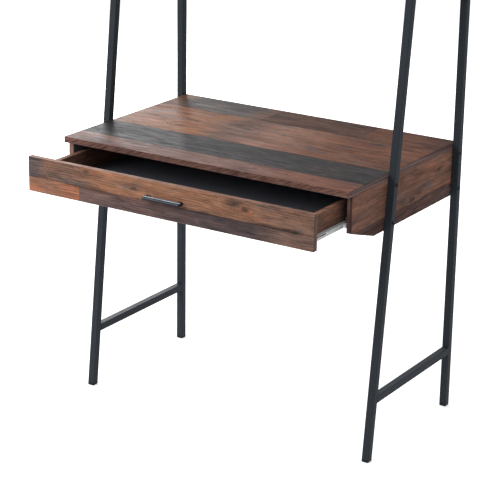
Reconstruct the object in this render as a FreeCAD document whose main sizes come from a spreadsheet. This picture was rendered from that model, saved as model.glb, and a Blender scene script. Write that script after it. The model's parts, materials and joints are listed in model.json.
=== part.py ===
"""Ladder desk: two tube side frames, a desk box with one wide drawer on roller runners, two shelves above.

The origin is on the floor, under the middle of the whole object with its drawer drawn out as far as at rest.
+Z is up, +X is to the right of a person who sits at the desk and +Y points away from that person.
"""
import FreeCAD, Part
import os
import re

import Sketcher
from FreeCAD import Placement, Rotation, Vector

# Driving sizes in millimetres; a name that ends in share is a plain ratio
SIZES = {
    # desk box
    "top_width": 862,
    "top_depth": 565,
    "board_thickness": 16,
    "board_chamfer": 0.8,
    "desk_height": 750,
    "side_setback": 20,
    "side_height": 130,
    "clip_length": 112,
    "clip_height": 35,
    # tube frame
    "tube_size": 20,
    "tube_wall": 1.2,
    "tube_corner": 1.8,
    "front_foot_setback": 110,
    "front_desk_setback": 196,
    "frame_height": 1760,
    "foot_rail_height": 154,
    "foot_height": 8,
    "foot_plug": 14,
    "foot_chamfer": 1.2,
    "cap_thickness": 3,
    "cap_plug": 10,
    "cap_chamfer": 1,
    "plug_clearance": 0.15,
    # shelves
    "top_shelf_drop": 100,
    "shelf_spacing": 440,
    "shelf_clearance": 0.6,
    "shelf_screw_inset": 45,
    "shelf_screw_bite": 11,
    # bolts that hold the posts to the desk box
    "bolt_drop": 13,
    "bolt_spacing": 96,
    "bolt_radius": 3,
    "bolt_head_radius": 5.5,
    "bolt_head_height": 2,
    "bolt_socket_radius": 2.6,
    "bolt_socket_depth": 1.2,
    "bolt_bite": 11,
    "insert_radius": 5,
    "insert_length": 13,
    # cam fittings and dowels
    "cam_setback": 34,
    "cam_bite": 11,
    "cam_thread_radius": 2.5,
    "cam_shaft_radius": 3,
    "cam_neck_radius": 1.8,
    "cam_neck_length": 3,
    "cam_head_radius": 3.4,
    "cam_head_height": 3,
    "cam_radius": 7.4,
    "cam_height": 12,
    "cam_front_inset": 60,
    "cam_rear_inset": 95,
    "back_cam_spacing": 500,
    "end_cam_rise": 64,
    "dowel_radius": 4,
    "dowel_length": 30,
    "dowel_bite": 10,
    "dowel_room": 0.5,
    "dowel_chamfer": 1,
    "dowel_spacing": 64,
    "back_dowel_spacing": 300,
    "end_dowel_rise": 32,
    # drawer
    "drawer_open": 155,
    "front_gap": 2,
    "front_top_gap": 1.5,
    "front_height": 92,
    "front_reveal": 4,
    "box_rise": 5.5,
    "box_height": 65.5,
    "drawer_board": 15,
    "drawer_length": 400,
    "drawer_bottom_thickness": 3,
    "groove_depth": 6,
    "groove_rise": 10,
    "groove_clearance": 0.15,
    "drawer_cam_rise": 39,
    "drawer_dowel_rise": 24,
    "drawer_dowel_spacing": 30,
    "back_screw_rise": 26,
    "back_screw_spacing": 26,
    "back_screw_length": 40,
    # handle
    "handle_drop": 40,
    "handle_span": 96,
    "handle_leg": 14,
    "handle_reach": 20,
    "handle_bar_depth": 10,
    "handle_bar_height": 8,
    "handle_chamfer": 1.4,
    "handle_screw_radius": 2,
    "handle_screw_bite": 8,
    "handle_head_radius": 4,
    "handle_head_height": 2.4,
    # roller runners
    "runner_space": 18,
    "runner_sheet": 1.2,
    "runner_length": 400,
    "runner_web": 17,
    "runner_foot": 11,
    "runner_flange": 11,
    "cabinet_web": 31,
    "cabinet_track": 14.5,
    "cabinet_lip": 4,
    "cabinet_setback": 3,
    "cabinet_screw_drop": 6.5,
    "track_notch": 3,
    "slot_start": 48,
    "slot_length": 42,
    "slot_rise": 8,
    "slot_height": 4.4,
    "slot_corner": 1.6,
    "spare_hole_inset": 104,
    "spare_hole_radius": 2.2,
    "runner_screw_inset": 24,
    "runner_screw_rise": 5.2,
    "runner_screw_spacing": 150,
    "roller_inset": 10,
    "roller_radius": 7.5,
    "roller_width": 9,
    "roller_chamfer": 0.8,
    "roller_gap": 0.3,
    "roller_play": 0.1,
    "axle_radius": 2.5,
    "axle_clearance": 0.05,
    "axle_shoulder_radius": 3.6,
    "axle_head_radius": 4,
    "axle_head_height": 1.2,
    # wood screws
    "screw_radius": 1.8,
    "screw_bite": 11,
    "screw_head_radius": 3.4,
    "screw_head_height": 1.8,
    # clearances and shares
    "fit_clearance": 0.05,
    "hole_clearance": 0.25,
    "overrun": 5,
    "head_crown_share": 0.62,
    "head_rim_share": 0.45,
}

# Sizes and places that follow from the driving sizes
PLACES = {
    "half_top": "top_width / 2",
    "half_width": "half_top + tube_size",
    "inner_x": "half_top - board_thickness",
    "post_x": "half_top + tube_size / 2",
    "panel_mid_x": "half_top - board_thickness / 2",
    "front_reach": "drawer_open + handle_reach + front_gap + board_thickness - side_setback",
    "top_front_y": "(front_reach - top_depth) / 2",
    "top_back_y": "top_front_y + top_depth",
    "side_front_y": "top_front_y + side_setback",
    "back_front_y": "top_back_y - board_thickness",
    "back_mid_y": "top_back_y - board_thickness / 2",
    "desk_underside": "desk_height - board_thickness",
    "side_bottom": "desk_underside - side_height",
    # posts; the front ones lean back by slope millimetres for each millimetre of height
    "slope": "(front_desk_setback - front_foot_setback) / desk_height",
    "stretch": "sqrt(1 + slope * slope)",
    "front_depth": "tube_size * stretch",
    "front_post_y": "top_front_y + front_foot_setback + front_depth / 2",
    "front_back_face": "front_post_y + front_depth / 2",
    "rear_post_y": "top_back_y - tube_size / 2",
    "rear_face": "top_back_y - tube_size",
    "bore_size": "tube_size - 2 * tube_wall",
    "bore_corner": "tube_corner - tube_wall",
    "upper_bolt_z": "desk_underside - bolt_drop",
    "lower_bolt_z": "upper_bolt_z - bolt_spacing",
    # shelves, measured at their upper faces
    "top_shelf_height": "frame_height - top_shelf_drop",
    "mid_shelf_height": "top_shelf_height - shelf_spacing",
    # holes for cam fittings, dowels and screws
    "cam_thread_hole": "cam_thread_radius + fit_clearance",
    "cam_thread_depth": "cam_bite + fit_clearance",
    "cam_bolt_hole": "cam_head_radius + fit_clearance",
    "cam_hole": "cam_radius + fit_clearance",
    "cam_hole_depth": "cam_height + fit_clearance",
    "dowel_hole": "dowel_radius + fit_clearance",
    "dowel_depth": "dowel_bite + dowel_room",
    "dowel_end_depth": "dowel_length - dowel_bite + dowel_room",
    "screw_hole": "screw_radius + fit_clearance",
    "screw_depth": "screw_bite + fit_clearance",
    "screw_passage": "screw_radius + hole_clearance",
    "axle_hole": "axle_radius + fit_clearance",
    # places of cam fittings and dowels in the desk box
    "cam_front_y": "side_front_y + cam_front_inset",
    "cam_rear_y": "top_back_y - cam_rear_inset",
    "dowel_front_y": "cam_front_y + dowel_spacing",
    "dowel_rear_y": "cam_rear_y - dowel_spacing",
    "end_cam_z": "side_bottom + end_cam_rise",
    "end_dowel_z": "side_bottom + end_dowel_rise",
    "lock_z": "desk_underside - cam_setback",
    "lock_x": "inner_x - cam_setback",
    # drawer, drawn out as at rest
    "front_back_y": "side_front_y - front_gap - drawer_open",
    "front_face_y": "front_back_y - board_thickness",
    "front_top_z": "desk_underside - front_top_gap",
    "front_bottom_z": "front_top_z - front_height",
    "front_half": "half_top - front_reveal",
    "box_half": "inner_x - runner_space",
    "box_inner": "box_half - drawer_board",
    "box_mid_x": "box_half - drawer_board / 2",
    "box_bottom": "front_bottom_z + box_rise",
    "box_top": "box_bottom + box_height",
    "box_back_y": "front_back_y + drawer_length",
    "box_back_mid_y": "box_back_y - drawer_board / 2",
    "groove_bottom": "box_bottom + groove_rise",
    "groove_top": "groove_bottom + drawer_bottom_thickness + 2 * groove_clearance",
    "bottom_bite": "groove_depth - groove_clearance",
    "drawer_cam_z": "box_bottom + drawer_cam_rise",
    "drawer_dowel_z": "box_bottom + drawer_dowel_rise",
    "back_screw_z": "box_bottom + back_screw_rise",
    "handle_z": "front_top_z - handle_drop",
    "handle_half": "(handle_span + handle_leg) / 2",
    "handle_inner": "(handle_span - handle_leg) / 2",
    # runners and rollers
    "flange_top": "box_bottom + runner_web",
    "roller_z": "flange_top - runner_sheet - roller_gap - roller_radius",
    "cabinet_bottom": "roller_z - roller_radius - roller_gap - runner_sheet",
    "cabinet_front_y": "side_front_y + cabinet_setback",
    "front_roller_y": "cabinet_front_y + roller_inset",
    "rear_roller_y": "front_back_y + runner_length - roller_inset",
    "notch_end_y": "front_roller_y + roller_radius + track_notch",
    "roller_standoff": "(runner_space - 2 * runner_sheet - roller_width) / 2",
    "cabinet_screw_z": "cabinet_bottom + cabinet_web - cabinet_screw_drop",
    "runner_screw_z": "box_bottom + runner_screw_rise",
}

LEFT, RIGHT = -1, 1
SIDES = {"left": LEFT, "right": RIGHT}
AXIS = {"X": Vector(1, 0, 0), "Y": Vector(0, 1, 0), "Z": Vector(0, 0, 1)}
# Each axis with the body plane square to it and the way that this plane's normal points along the axis
PLANES = {"X": ("YZ_Plane", 1), "Y": ("XZ_Plane", -1), "Z": ("XY_Plane", 1)}
TINY_VOLUME = 1e-3

doc = FreeCAD.newDocument("LadderDesk")
nodes = []


def spell(words, sheets=("Sizes", "Places")):
    """Write the sheet's name before each cell name in an expression."""
    cells = {"Sizes": SIZES, "Places": PLACES}

    def full_name(match):
        name = match[0]
        return next((f"{sheet}.{name}" for sheet in sheets if name in cells[sheet]), name)

    return re.sub(r"[a-z]\w*", full_name, words)


def fill_sheets():
    """Put the driving sizes in one sheet and the formulas that follow from them in another."""
    sizes = doc.addObject("Spreadsheet::Sheet", "Sizes")
    places = doc.addObject("Spreadsheet::Sheet", "Places")
    for row, (name, number) in enumerate(SIZES.items(), 1):
        sizes.set(f"A{row}", name)
        sizes.set(f"B{row}", str(number))
        sizes.setAlias(f"B{row}", name)
    for row, (name, words) in enumerate(PLACES.items(), 1):
        places.set(f"A{row}", name)
        places.set(f"B{row}", "=" + spell(words, ["Sizes"]))
        places.setAlias(f"B{row}", name)
    doc.recompute()
    return places


places_sheet = fill_sheets()


def value(words):
    """Work out an expression as a number."""
    return float(places_sheet.evalExpression(spell(words)))


# Sketches and features


def add_body(label, x="0", y="0", z="0", is_node=True):
    """Start a body whose origin is bound to three expressions."""
    body = doc.addObject("PartDesign::Body", label)
    body.Label = label
    for axis, words in zip("xyz", (x, y, z)):
        body.setExpression(f"Placement.Base.{axis}", spell(words))
    if is_node:
        nodes.append(body)
    return body


def add_sketch(body, axis, at="0"):
    """Start a sketch square to an axis of its body, at a distance along that axis."""
    role, sign = PLANES[axis]
    plane = next(feature for feature in body.Origin.OriginFeatures if feature.Role == role)
    sketch = body.newObject("Sketcher::SketchObject", "Sketch")
    sketch.AttachmentSupport = (plane, [""])
    sketch.MapMode = "FlatFace"
    sketch.setExpression("AttachmentOffset.Base.z", spell(f"{sign} * ({at})"))
    return sketch


def dimension(sketch, kind, places, words):
    """Add a dimension that follows an expression."""
    index = sketch.addConstraint(Sketcher.Constraint(kind, *places, value(words)))
    sketch.setExpression(f"Constraints[{index}]", spell(words))


def pin(sketch, geometry, point, x, y):
    """Hold a point of the sketch at a place measured from the sketch's origin."""
    dimension(sketch, "DistanceX", (-1, 1, geometry, point), x)
    dimension(sketch, "DistanceY", (-1, 1, geometry, point), y)


def polygon(sketch, corners):
    """Draw a closed outline of straight lines through corners given as expressions."""
    first = sketch.GeometryCount
    count = len(corners)
    points = [Vector(value(x), value(y), 0) for x, y in corners]
    for i in range(count):
        sketch.addGeometry(Part.LineSegment(points[i], points[(i + 1) % count]))
    for i in range(count):
        sketch.addConstraint(Sketcher.Constraint("Coincident", first + i, 2, first + (i + 1) % count, 1))
    for i, (x, y) in enumerate(corners):
        pin(sketch, first + i, 1, x, y)


def rectangle(sketch, x0, y0, x1, y1):
    """Draw a rectangle between two corners."""
    polygon(sketch, [(x0, y0), (x1, y0), (x1, y1), (x0, y1)])


def circle(sketch, x, y, radius):
    """Draw a circle."""
    round_line = Part.Circle(Vector(value(x), value(y), 0), AXIS["Z"], value(radius))
    index = sketch.addGeometry(round_line)
    pin(sketch, index, 3, x, y)
    dimension(sketch, "Radius", (index,), radius)


def rounded(sketch, x, y, width, depth, radius):
    """Draw a rectangle with round corners about a centre."""
    first = sketch.GeometryCount
    quarter = Rotation(AXIS["Z"], 90)
    signs = [(1, -1), (1, 1), (-1, 1), (-1, -1)]
    centres = [(f"{x} + {sx} * (({width}) / 2 - ({radius}))", f"{y} + {sy} * (({depth}) / 2 - ({radius}))")
               for sx, sy in signs]
    middles = [Vector(value(cx), value(cy), 0) for cx, cy in centres]
    outward = Vector(0, -value(radius), 0)
    for i, middle in enumerate(middles):
        previous = middles[i - 1]
        sketch.addGeometry(Part.LineSegment(previous + outward, middle + outward))
        turned_out = quarter.multVec(outward)
        halfway = Rotation(AXIS["Z"], 45).multVec(outward)
        sketch.addGeometry(Part.Arc(middle + outward, middle + halfway, middle + turned_out))
        outward = turned_out
    for i, (cx, cy) in enumerate(centres):
        line = first + 2 * i
        arc = line + 1
        next_line = first + (2 * i + 2) % (2 * len(centres))
        sketch.addConstraint(Sketcher.Constraint("Tangent", line, 2, arc, 1))
        sketch.addConstraint(Sketcher.Constraint("Tangent", arc, 2, next_line, 1))
        pin(sketch, arc, 3, cx, cy)
        dimension(sketch, "Radius", (arc,), radius)


def pad(body, sketch, towards, length, lean=None, both_ways=False):
    """Extrude a sketch along an axis, such as +Z, or along a line that leans from +Z or -Z towards Y."""
    feature = body.newObject("PartDesign::Pad", "Pad")
    feature.Profile = sketch
    feature.Reversed = int(f"{towards[0]}1") != PLANES[towards[1]][1]
    feature.setExpression("Length", spell(length))
    if both_ways:
        feature.SideType = "Symmetric"
    if lean:
        feature.UseCustomVector = True
        feature.AlongSketchNormal = True
        feature.Direction = Vector(0, value(lean), 1)
        feature.setExpression("Direction.y", spell(lean))
    return feature


def pocket(body, sketch, towards, depth=None):
    """Cut a sketch into a body along an axis, or right through it where no depth is given."""
    feature = body.newObject("PartDesign::Pocket", "Pocket")
    feature.Profile = sketch
    feature.Reversed = int(f"{towards[0]}1") == PLANES[towards[1]][1]
    if depth:
        feature.setExpression("Length", spell(depth))
    else:
        feature.Type = "ThroughAll"
        feature.SideType = "Symmetric"
    return feature


def drill(body, towards, places, radius, depth=None, at="0"):
    """Bore round holes of one radius along an axis, starting from one plane."""
    sketch = add_sketch(body, towards[1], at)
    for x, y in places:
        circle(sketch, x, y, radius)
    pocket(body, sketch, towards, depth)


def chamfer(body, feature, size, edges=None):
    """Break the edges of a feature, all of them where none are named."""
    doc.recompute()
    names = edges or [f"Edge{i + 1}" for i in range(len(feature.Shape.Edges))]
    broken = body.newObject("PartDesign::Chamfer", "Chamfer")
    broken.Base = (feature, names)
    broken.setExpression("Size", spell(size))


def chamfer_end(body, feature, size, end_z):
    """Break the edges of a feature that lie in one level plane."""
    doc.recompute()
    height = value(end_z)
    level = [f"Edge{i + 1}" for i, edge in enumerate(feature.Shape.Edges)
             if max(abs(vertex.Z - height) for vertex in edge.Vertexes) < value("board_chamfer") / 2]
    chamfer(body, feature, size, level)


def turned(label, outline, x="0", y="0", z="0", is_node=False):
    """Make a round piece by turning an outline of radius and height pairs about the body's Z axis."""
    body = add_body(label, x, y, z, is_node)
    sketch = add_sketch(body, "Y")
    polygon(sketch, outline)
    feature = body.newObject("PartDesign::Revolution", "Revolution")
    feature.Profile = sketch
    feature.ReferenceAxis = (sketch, ["V_Axis"])
    feature.Angle = 360
    return body


def group(label, master, places):
    """Make one node of separate copies of a fastener, each at a place and a turn."""
    links = []
    for x, y, z, turn in places:
        link = doc.addObject("App::Link", f"{label}_copy")
        link.LinkedObject = master
        link.Placement = Placement(Vector(), turn)
        for axis, words in zip("xyz", (x, y, z)):
            link.setExpression(f"Placement.Base.{axis}", spell(words))
        links.append(link)
    compound = doc.addObject("Part::Compound", label)
    compound.Label = label
    compound.Links = links
    nodes.append(compound)


def aim(direction):
    """Turn a fastener's own +Z to an axis such as -X."""
    return Rotation(AXIS["Z"], AXIS[direction[1]] * int(f"{direction[0]}1"))


def lock_turn(face, bolt_side):
    """Turn a cam lock so that its face looks one way and its mouth opens towards its bolt."""
    up = AXIS[face[1]] * int(f"{face[0]}1")
    mouth = AXIS[bolt_side[1]] * int(f"{bolt_side[0]}1")
    return Rotation(mouth, up.cross(mouth), up, "ZXY")


def way(side, axis="X"):
    """Name the direction outwards on one side of the desk."""
    return ("+" if side > 0 else "-") + axis


# Desk box


def board(label, x, y, z, width, depth, height):
    """Make a plain board from its low corner."""
    body = add_body(label, x, y, z)
    sketch = add_sketch(body, "Z")
    rectangle(sketch, "0", "0", width, depth)
    chamfer(body, pad(body, sketch, "+Z", height), "board_chamfer")
    return body


def desk_top():
    """Lay the top on the side panels and the back, with the blind holes for their bolts and dowels."""
    body = board("desk_top", "-half_top", "top_front_y", "desk_underside",
                 "top_width", "top_depth", "board_thickness")
    bolts = []
    pegs = []
    for side in SIDES.values():
        panel = f"half_top + {side} * panel_mid_x"
        bolts += [(panel, f"{y} - top_front_y") for y in ("cam_front_y", "cam_rear_y")]
        pegs += [(panel, f"{y} - top_front_y") for y in ("dowel_front_y", "dowel_rear_y")]
        bolts.append((f"half_top + {side} * back_cam_spacing / 2", "back_mid_y - top_front_y"))
        pegs.append((f"half_top + {side} * back_dowel_spacing / 2", "back_mid_y - top_front_y"))
    drill(body, "+Z", bolts, "cam_thread_hole", "cam_thread_depth")
    drill(body, "+Z", pegs, "dowel_hole", "dowel_depth")


def side_panel(name, side):
    """Cut a side panel with its clipped lower front corner, and drill it for its fittings."""
    body = add_body(f"{name}_side_panel", f"{side} * half_top")
    sketch = add_sketch(body, "X")
    polygon(sketch, [
        ("side_front_y", "desk_underside"),
        ("side_front_y", "side_bottom + clip_height"),
        ("side_front_y + clip_length", "side_bottom"),
        ("top_back_y", "side_bottom"),
        ("top_back_y", "desk_underside"),
    ])
    inwards = way(-side)
    outwards = way(side)
    inner_face = f"{-side} * board_thickness"
    middle = f"{-side} * board_thickness / 2"
    chamfer(body, pad(body, sketch, inwards, "board_thickness"), "board_chamfer")
    heights = ("upper_bolt_z", "lower_bolt_z")
    inserts = [(f"front_post_y + slope * {z}", z) for z in heights] + [("rear_post_y", z) for z in heights]
    drill(body, inwards, inserts, "insert_radius + fit_clearance", "insert_length + fit_clearance")
    locks = [("cam_front_y", "lock_z"), ("cam_rear_y", "lock_z")]
    drill(body, outwards, locks, "cam_hole", "cam_hole_depth", inner_face)
    bolts = [(middle, "cam_front_y"), (middle, "cam_rear_y")]
    drill(body, "-Z", bolts, "cam_bolt_hole", "cam_setback", "desk_underside")
    pegs = [(middle, "dowel_front_y"), (middle, "dowel_rear_y")]
    drill(body, "-Z", pegs, "dowel_hole", "dowel_end_depth", "desk_underside")
    end_bolt = [("back_mid_y", "end_cam_z")]
    drill(body, outwards, end_bolt, "cam_thread_hole", "cam_thread_depth", inner_face)
    end_peg = [("back_mid_y", "end_dowel_z")]
    drill(body, outwards, end_peg, "dowel_hole", "dowel_depth", inner_face)
    screws = [(y, "cabinet_screw_z") for y in runner_screw_places("cabinet_front_y")]
    drill(body, outwards, screws, "screw_hole", "screw_depth", inner_face)


def back_panel():
    """Close the desk box at the back, between the side panels."""
    body = board("back_panel", "-inner_x", "back_front_y", "side_bottom",
                 "2 * inner_x", "board_thickness", "side_height")
    middle = "board_thickness / 2"
    bolt_places = [f"inner_x + {side} * back_cam_spacing / 2" for side in SIDES.values()]
    bolts = [(x, middle) for x in bolt_places]
    drill(body, "-Z", bolts, "cam_bolt_hole", "cam_setback", "side_height")
    pegs = [(f"inner_x + {side} * back_dowel_spacing / 2", middle) for side in SIDES.values()]
    drill(body, "-Z", pegs, "dowel_hole", "dowel_end_depth", "side_height")
    locks = [(x, "side_height - cam_setback") for x in bolt_places]
    locks += [(f"inner_x + {side} * lock_x", "end_cam_rise") for side in SIDES.values()]
    drill(body, "+Y", locks, "cam_hole", "cam_hole_depth")
    for side in SIDES.values():
        end = f"inner_x + {side} * inner_x"
        drill(body, way(-side), [(middle, "end_cam_rise")], "cam_bolt_hole", "cam_setback", end)
        drill(body, way(-side), [(middle, "end_dowel_rise")], "dowel_hole", "dowel_end_depth", end)


# Tube frame


def post(name, y, depth, lean):
    """Draw out a square tube from foot to cap; the front posts lean back and are cut level at both ends."""
    wall = f"2 * tube_wall * ({depth}) / tube_size"
    for side_name, side in SIDES.items():
        start = f"{y} + ({lean}) * foot_height"
        body = add_body(f"{side_name}_{name}_post", f"{side} * post_x", start, "foot_height")
        sketch = add_sketch(body, "Z")
        rounded(sketch, "0", "0", "tube_size", depth, "tube_corner")
        rounded(sketch, "0", "0", "bore_size", f"{depth} - {wall}", "bore_corner")
        pad(body, sketch, "+Z", "frame_height - cap_thickness - foot_height", lean)
        holes = [(f"({lean}) * ({z} - foot_height)", f"{z} - foot_height")
                 for z in ("upper_bolt_z", "lower_bolt_z")]
        drill(body, "+X", holes, "bolt_radius + hole_clearance")


def plug(label, side, y, depth, lean, thick, reach, edge, upwards):
    """Mould a plastic end piece: a pad as wide as the tube with a spigot that fills its bore."""
    end_z = "0" if upwards else "frame_height"
    towards = "+Z" if upwards else "-Z"
    body = add_body(label, f"{side} * post_x", f"{y} + ({lean}) * {end_z}", end_z)
    sketch = add_sketch(body, "Z")
    rounded(sketch, "0", "0", "tube_size", depth, "tube_corner")
    base = pad(body, sketch, towards, thick, lean)
    chamfer_end(body, base, edge, "0")
    spigot = add_sketch(body, "Z")
    spare = "2 * (tube_wall + plug_clearance)"
    spigot_depth = f"{depth} - {spare} * ({depth}) / tube_size"
    rounded(spigot, "0", "0", f"tube_size - {spare}", spigot_depth, "bore_corner")
    pad(body, spigot, towards, f"{thick} + {reach}", lean)


def rail(label, side, bottom, screw_places=()):
    """Weld a level tube between a leaning front post and the rear post behind it."""
    start = f"front_back_face + slope * ({bottom})"
    body = add_body(label, f"{side} * post_x", start, f"{bottom} + tube_size / 2")
    section = add_sketch(body, "Y")
    rounded(section, "0", "0", "tube_size", "tube_size", "tube_corner")
    rounded(section, "0", "0", "bore_size", "bore_size", "bore_corner")
    pad(body, section, "+Y", f"rear_face - ({start})")
    mitre = add_sketch(body, "X")
    polygon(mitre, [
        ("-overrun", "-tube_size / 2 - overrun"),
        ("-slope * overrun", "-tube_size / 2 - overrun"),
        ("slope * (tube_size + overrun)", "tube_size / 2 + overrun"),
        ("-overrun", "tube_size / 2 + overrun"),
    ])
    pocket(body, mitre, "+X")
    if screw_places:
        drill(body, "+Z", [("0", f"{y} - ({start})") for y in screw_places], "screw_passage")


def shelf_edges(height):
    """Find where a shelf starts and ends between the front posts and the rear posts."""
    return f"(front_back_face + slope * {height} + shelf_clearance)", "(rear_face - shelf_clearance)"


def shelf_screw_places(height):
    """Space the screws of a shelf from its front and back edges."""
    front, back = shelf_edges(height)
    return [f"{front} + shelf_screw_inset", f"{back} - shelf_screw_inset"]


def shelf(name):
    """Lay a shelf on its two rails, and drill it for the screws that come up through them."""
    height = f"{name}_height"
    front, back = shelf_edges(height)
    places = shelf_screw_places(height)
    body = board(name, "-half_width", front, f"{height} - board_thickness",
                 "2 * half_width", f"{back} - {front}", "board_thickness")
    holes = [(f"half_width + {side} * post_x", f"{y} - {front}") for side in SIDES.values() for y in places]
    drill(body, "+Z", holes, "screw_hole", "shelf_screw_bite + fit_clearance")
    for side_name, side in SIDES.items():
        rail(f"{side_name}_{name}_rail", side, f"{height} - board_thickness - tube_size", places)


def tube_frame():
    """Set up the two side frames with their feet and caps."""
    ends = {"front": ("front_post_y", "front_depth", "slope"), "rear": ("rear_post_y", "tube_size", "0")}
    for name, (y, depth, lean) in ends.items():
        post(name, y, depth, lean)
        for side_name, side in SIDES.items():
            plug(f"{side_name}_{name}_foot", side, y, depth, lean,
                 "foot_height", "foot_plug", "foot_chamfer", upwards=True)
            plug(f"{side_name}_{name}_cap", side, y, depth, lean,
                 "cap_thickness", "cap_plug", "cap_chamfer", upwards=False)
    for side_name, side in SIDES.items():
        rail(f"{side_name}_foot_rail", side, "foot_rail_height")
    shelf("mid_shelf")
    shelf("top_shelf")


# Drawer


def drawer_front():
    """Cut the overlay front, grooved for the bottom and drilled for its fittings."""
    body = add_body("drawer_front", "0", "front_face_y")
    sketch = add_sketch(body, "Y")
    rectangle(sketch, "-front_half", "front_bottom_z", "front_half", "front_top_z")
    chamfer(body, pad(body, sketch, "+Y", "board_thickness"), "board_chamfer")
    grips = [(f"{side} * handle_span / 2", "handle_z") for side in SIDES.values()]
    drill(body, "+Y", grips, "handle_screw_radius + hole_clearance")
    groove = add_sketch(body, "Y", "board_thickness")
    rectangle(groove, "-box_inner - groove_depth", "groove_bottom", "box_inner + groove_depth", "groove_top")
    pocket(body, groove, "-Y", "groove_depth")
    bolts = [(f"{side} * box_mid_x", "drawer_cam_z") for side in SIDES.values()]
    drill(body, "-Y", bolts, "cam_thread_hole", "cam_thread_depth", "board_thickness")
    pegs = [(f"{side} * box_mid_x", z) for side in SIDES.values() for z in drawer_dowel_heights()]
    drill(body, "-Y", pegs, "dowel_hole", "dowel_depth", "board_thickness")


def drawer_dowel_heights():
    """Space the two dowels at each end of the drawer front."""
    return ["drawer_dowel_z", "drawer_dowel_z + drawer_dowel_spacing"]


def back_screw_heights():
    """Space the two screws at each end of the drawer's back."""
    return ["back_screw_z", "back_screw_z + back_screw_spacing"]


def runner_screw_places(front):
    """Space three screws along a runner."""
    return [f"{front} + runner_screw_inset + {i} * runner_screw_spacing" for i in range(3)]


def drawer_side(name, side):
    """Cut a drawer side with its groove, its fittings' holes and the runner's screw holes."""
    body = add_body(f"drawer_{name}_side", f"{side} * box_half")
    sketch = add_sketch(body, "X")
    rectangle(sketch, "front_back_y", "box_bottom", "box_back_y", "box_top")
    inwards = way(-side)
    outwards = way(side)
    inner_face = f"{-side} * drawer_board"
    middle = f"{-side} * drawer_board / 2"
    chamfer(body, pad(body, sketch, inwards, "drawer_board"), "board_chamfer")
    groove = add_sketch(body, "X", inner_face)
    rectangle(groove, "front_back_y - overrun", "groove_bottom", "box_back_y + overrun", "groove_top")
    pocket(body, groove, outwards, "groove_depth")
    bolt = [(middle, "drawer_cam_z")]
    drill(body, "+Y", bolt, "cam_bolt_hole", "cam_setback", "front_back_y")
    pegs = [(middle, z) for z in drawer_dowel_heights()]
    drill(body, "+Y", pegs, "dowel_hole", "dowel_end_depth", "front_back_y")
    lock = [("front_back_y + cam_setback", "drawer_cam_z")]
    drill(body, outwards, lock, "cam_hole", "cam_hole_depth", inner_face)
    back_screws = [("box_back_mid_y", z) for z in back_screw_heights()]
    drill(body, inwards, back_screws, "screw_passage")
    drill(body, inwards, back_screws, "screw_head_radius + hole_clearance", "screw_head_height")
    runner_screws = [(y, "runner_screw_z") for y in runner_screw_places("front_back_y")]
    drill(body, inwards, runner_screws, "screw_hole", "screw_depth")


def drawer_back():
    """Close the drawer box at the back, between its sides."""
    body = board("drawer_back", "-box_inner", "box_back_y - drawer_board", "box_bottom",
                 "2 * box_inner", "drawer_board", "box_height")
    groove = add_sketch(body, "Y")
    rectangle(groove, "-overrun", "groove_rise", "2 * box_inner + overrun", "groove_top - box_bottom")
    pocket(body, groove, "+Y", "groove_depth")
    screws = [("drawer_board / 2", f"{z} - box_bottom") for z in back_screw_heights()]
    depth = "back_screw_length + screw_head_height - drawer_board + fit_clearance"
    for side in SIDES.values():
        drill(body, way(-side), screws, "screw_hole", depth, f"box_inner + {side} * box_inner")


def drawer_bottom():
    """Slide the thin bottom into the grooves."""
    body = add_body("drawer_bottom", "0", "0", "groove_bottom + groove_clearance")
    sketch = add_sketch(body, "Z")
    rectangle(sketch, "-box_inner - bottom_bite", "front_back_y - bottom_bite",
              "box_inner + bottom_bite", "box_back_y - drawer_board + bottom_bite")
    pad(body, sketch, "+Z", "drawer_bottom_thickness")


def drawer_handle():
    """Shape the bar pull: a flat bar on two end legs."""
    body = add_body("drawer_handle", "0", "front_face_y", "handle_z")
    sketch = add_sketch(body, "Z")
    polygon(sketch, [
        ("-handle_half", "0"),
        ("-handle_half", "-handle_reach"),
        ("handle_half", "-handle_reach"),
        ("handle_half", "0"),
        ("handle_inner", "0"),
        ("handle_inner", "handle_bar_depth - handle_reach"),
        ("-handle_inner", "handle_bar_depth - handle_reach"),
        ("-handle_inner", "0"),
    ])
    bar = pad(body, sketch, "+Z", "handle_bar_height", both_ways=True)
    chamfer(body, bar, "handle_chamfer")
    holes = [(f"{side} * handle_span / 2", "0") for side in SIDES.values()]
    drill(body, "-Y", holes, "handle_screw_radius + fit_clearance", "handle_screw_bite + fit_clearance")


# Roller runners


def cabinet_runner(name, side):
    """Roll the fixed runner: a web on the side panel, a track below and a short lip above."""
    body = add_body(f"{name}_cabinet_runner", f"{side} * inner_x", "cabinet_front_y", "cabinet_bottom")
    sketch = add_sketch(body, "Y")
    outline = [
        ("0", "0"),
        ("cabinet_track", "0"),
        ("cabinet_track", "runner_sheet"),
        ("runner_sheet", "runner_sheet"),
        ("runner_sheet", "cabinet_web - runner_sheet"),
        ("cabinet_lip", "cabinet_web - runner_sheet"),
        ("cabinet_lip", "cabinet_web"),
        ("0", "cabinet_web"),
    ]
    polygon(sketch, [(f"{-side} * {u}", z) for u, z in outline])
    pad(body, sketch, "+Y", "runner_length")
    notch = add_sketch(body, "X")
    rectangle(notch, "-overrun", "-overrun", "notch_end_y - cabinet_front_y", "runner_sheet")
    pocket(body, notch, "+X")
    drill(body, "+X", [("roller_inset", "roller_z - cabinet_bottom")], "axle_hole")
    screws = [(f"{y} - cabinet_front_y", "cabinet_screw_z - cabinet_bottom")
              for y in runner_screw_places("cabinet_front_y")]
    drill(body, "+X", screws, "screw_passage")


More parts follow.
